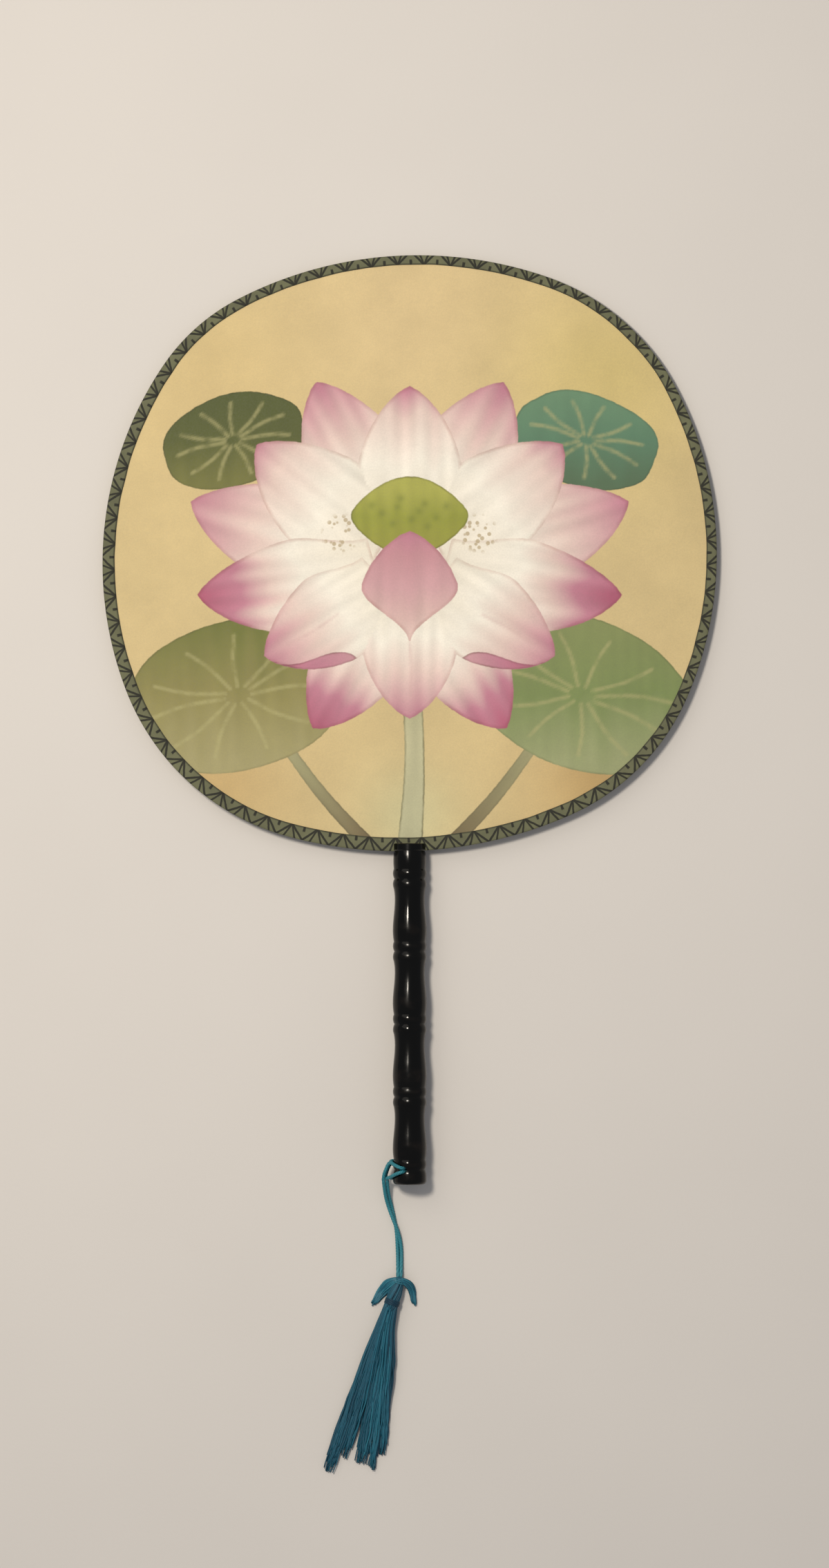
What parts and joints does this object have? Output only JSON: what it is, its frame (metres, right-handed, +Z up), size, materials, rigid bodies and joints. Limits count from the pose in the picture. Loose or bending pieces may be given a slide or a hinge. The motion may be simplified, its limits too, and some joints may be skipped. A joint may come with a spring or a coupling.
{
  "type": "round hand fan",
  "caption": "Rigid round hand fan: painted silk on a bent wire hoop with a folded ribbon edge, a jointed black handle, and a looped cord with a yarn tassel.",
  "frame": {"origin": "on the floor under the middle of the fan's own length and width, measured without the cord and tassel", "axes": "+Y from the handle's butt towards the top of the face, +Z up out of the painted front, +X to the right seen from the front. The fan lies at rest on the far edge of its rim and on the handle's uppermost ring, so its plane leans 1.2 degrees from the row's XY plane."},
  "size_m": [0.2504, 0.4941, 0.0169],
  "materials": {
    "wire": "plain drawn wire, hidden in the rim",
    "front_silk": "stretched silk, water-colour painting on an ochre ground",
    "back_silk": "stretched silk, plain, with the front's ground showing through faintly",
    "ribbon": "woven trim, olive grey with near-black zigzag lines",
    "lacquer": "high-gloss black lacquer",
    "cord": "braided turquoise cord, soft sheen",
    "yarn": "dark teal loose yarn, soft sheen"
  },
  "bodies": {
    "fan": {"hoop_wire": "wire", "front_silk": "front_silk", "back_silk": "back_silk", "edge_ribbon": "ribbon", "handle": "lacquer", "cord_hitch_upper": "cord", "cord_hitch_lower": "cord"},
    "cord": {"cord_strand_left": "cord", "cord_strand_right": "cord"},
    "tassel": {"tassel_head": "yarn", "neck_wrap": "yarn", "wrap_tail_left": "cord", "wrap_tail_right": "cord", "skirt_lock_outer_left": "yarn", "skirt_lock_inner_left": "yarn", "skirt_lock_middle": "yarn", "skirt_lock_inner_right": "yarn", "skirt_lock_outer_right": "yarn"}
  },
  "joints": [
    {"name": "cord_swing", "type": "hinge", "parent": "fan", "child": "cord", "pos_m": [-0.01, -0.18621, 0.008], "axis": [0, 0, 1], "range_deg": [-100, 12]},
    {"name": "tassel_swing", "type": "hinge", "parent": "cord", "child": "tassel", "pos_m": [-0.00425, -0.22941, 0.0033], "axis": [0, 0, 1], "range_deg": [-40, 40]}
  ]
}
